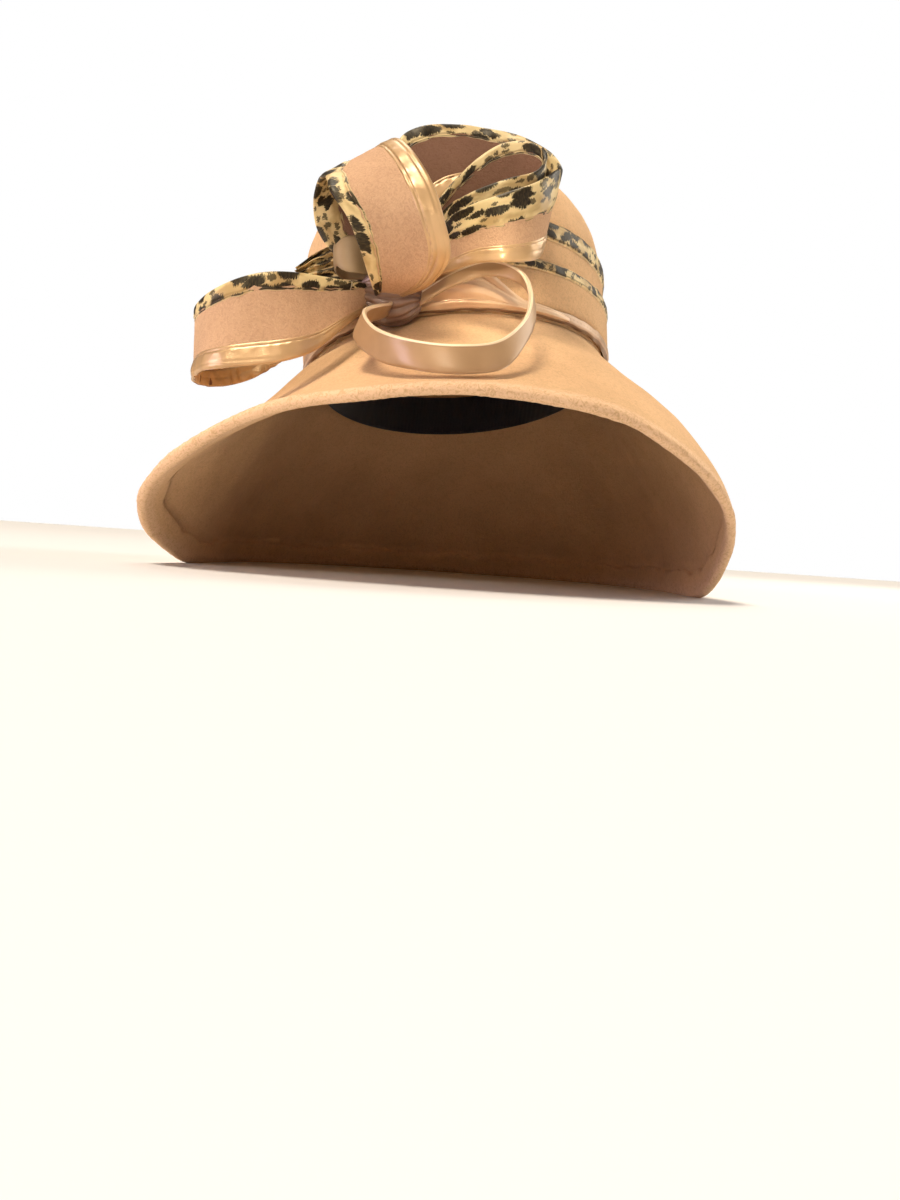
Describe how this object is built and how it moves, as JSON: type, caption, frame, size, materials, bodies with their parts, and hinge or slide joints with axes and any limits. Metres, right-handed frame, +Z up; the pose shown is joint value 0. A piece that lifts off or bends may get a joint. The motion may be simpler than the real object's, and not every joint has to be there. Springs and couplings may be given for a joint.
{
  "type": "wide-brim hat",
  "caption": "Wide-brim dress hat of camel felt: oval domed crown, drooping brim raised at the front, wrap bands and a large bow of looped strips with leopard and satin bindings.",
  "frame": {"origin": "on the floor that the rim rests on, under the middle of the outline's box", "axes": "+Z up, -Y to the hat's front, +X to the wearer's left"},
  "size_m": [0.3052, 0.3714, 0.2428],
  "materials": {
    "felt": "camel felt with a short nap",
    "satin": "tan satin with a soft sheen",
    "leopard": "satin printed with a leopard pattern in gold and black-brown",
    "ribbon": "black grosgrain ribbon"
  },
  "bodies": {
    "root": {"crown": "felt", "brim": "felt", "sweatband": "ribbon", "upper_band_leopard": "leopard", "upper_band_felt": "felt", "lower_band_leopard": "leopard", "lower_band_felt": "felt", "lower_band_satin": "satin", "satin_drape": "satin", "left_loop_leopard": "leopard", "left_loop_felt": "felt", "left_loop_satin": "satin", "centre_loop_leopard": "leopard", "centre_loop_felt": "felt", "centre_loop_satin": "satin", "back_loop_leopard": "leopard", "back_loop_felt": "felt", "back_loop_satin": "satin", "inner_loop_leopard": "leopard", "inner_loop_felt": "felt", "inner_loop_satin": "satin", "ring_loop": "satin", "small_loop": "satin", "leopard_tuft": "leopard", "bow_knot": "satin"}
  },
  "joints": []
}
